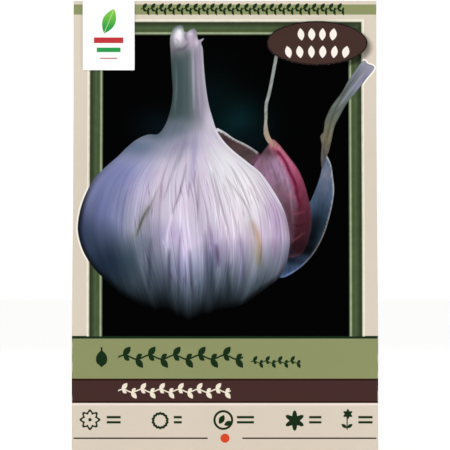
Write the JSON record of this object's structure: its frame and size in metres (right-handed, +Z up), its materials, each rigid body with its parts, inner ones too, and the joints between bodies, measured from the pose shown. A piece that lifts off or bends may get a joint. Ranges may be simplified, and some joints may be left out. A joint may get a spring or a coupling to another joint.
{
  "type": "seed packet",
  "caption": "Upright paper packet with folded-in sides, a flat base and a pinched top, holding garlic bulbs for planting.",
  "frame": {"origin": "middle of the flat base that the packet stands on", "axes": "+Z up along the packet's height, X across its width, the printed front faces -Y"},
  "size_m": [0.108, 0.042, 0.159],
  "materials": {
    "printed_paper": "coated paper, printed on the front, soft sheen",
    "white_label": "smooth coated label",
    "brown_label": "smooth coated label",
    "garlic_skin": "dry papery skin"
  },
  "bodies": {
    "root": {"paper_bag": "printed_paper", "leaf_sticker": "white_label", "oval_sticker": "brown_label", "seed_bulb_left": "garlic_skin", "seed_bulb_right": "garlic_skin"}
  },
  "joints": []
}
